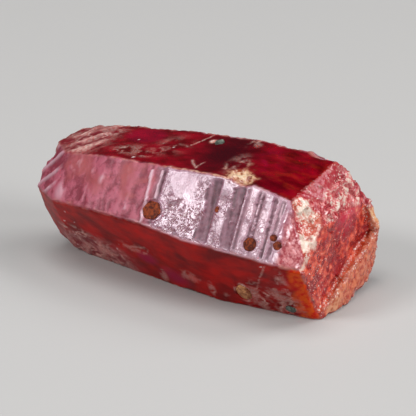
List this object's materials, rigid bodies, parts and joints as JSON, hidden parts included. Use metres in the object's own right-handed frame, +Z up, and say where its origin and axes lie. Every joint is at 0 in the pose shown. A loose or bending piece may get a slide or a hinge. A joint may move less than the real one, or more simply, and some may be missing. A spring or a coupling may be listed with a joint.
{
  "type": "raw ruby crystal",
  "caption": "Uncut ruby crystal: a stubby six-sided red prism lying on one face, with pitted faces, sealed inclusions, a worn narrow end and a broken stepped end.",
  "frame": {"origin": "on the table under the middle of the crystal's bounding box, as it lies on a prism face", "axes": "+X along the crystal's length towards its broken stepped end, -Y towards the pitted front faces, +Z up"},
  "size_m": [0.0202, 0.0098, 0.0087],
  "materials": {
    "ruby": "clear to cloudy deep red crystal, glassy where broken and satin on its pitted faces",
    "inclusion": "brown mica and grey-green grains sealed in the crystal"
  },
  "bodies": {
    "root": {"ruby_crystal": "ruby"}
  },
  "joints": []
}
